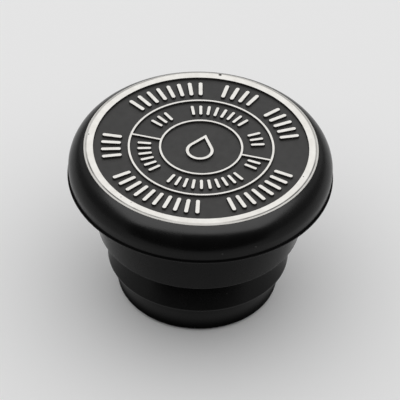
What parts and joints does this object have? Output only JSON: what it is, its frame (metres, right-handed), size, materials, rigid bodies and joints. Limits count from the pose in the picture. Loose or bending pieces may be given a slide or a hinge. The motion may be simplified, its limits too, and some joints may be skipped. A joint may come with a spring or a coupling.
{
  "type": "oil filler cap",
  "caption": "Push-in oil filler cap: a stepped black rubber plug with a mushroom head and a flared barb, hollow from below, and a round metal plate with raised rings and plain bars in its top.",
  "frame": {"origin": "centre of the neck's open end, where the cap stands on a flat surface", "axes": "+Z along the cap's axis, from the neck's end to the plate; +X along the plate's spokes"},
  "size_m": [0.0572, 0.0572, 0.038],
  "materials": {
    "black_rubber": "satin moulded black rubber",
    "plate_metal": "raised tops rubbed bare and bright, sunk field painted satin black"
  },
  "bodies": {
    "root": {"rubber_plug": "black_rubber", "top_plate": "plate_metal"}
  },
  "joints": []
}
